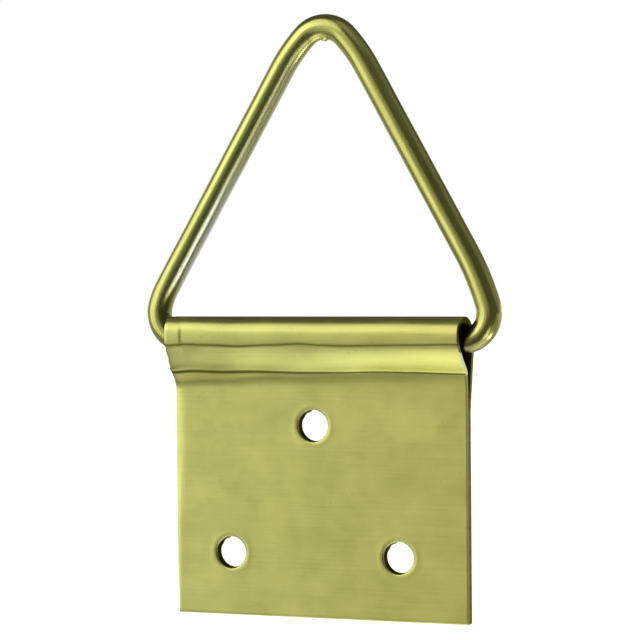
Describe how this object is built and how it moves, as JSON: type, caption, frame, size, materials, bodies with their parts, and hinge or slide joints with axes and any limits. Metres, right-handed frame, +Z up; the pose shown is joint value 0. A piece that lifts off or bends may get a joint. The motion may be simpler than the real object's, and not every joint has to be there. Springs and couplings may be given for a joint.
{
  "type": "picture hanger",
  "caption": "Folded sheet plate with screw holes and a triangular wire ring that swings in its knuckle, to hang a picture on a nail.",
  "frame": {"origin": "Centre of the top screw hole on the plate's back face.", "axes": "+Z up to the ring's apex, front faces -Y, +X to the right seen from the front."},
  "size_m": [0.0303, 0.004, 0.0482],
  "materials": {
    "plated_sheet": "bright plated, faint rolling lines",
    "plated_wire": "bright plated, drawn wire"
  },
  "bodies": {
    "plate": {"hanger_plate": "plated_sheet"},
    "ring": {"triangle_ring": "plated_wire"}
  },
  "joints": [
    {"name": "plate_swing", "type": "hinge", "parent": "ring", "child": "plate", "pos_m": [0.0005, -0.00095, 0.00682], "axis": [1, 0, 0], "range_deg": [-167, 150]}
  ]
}
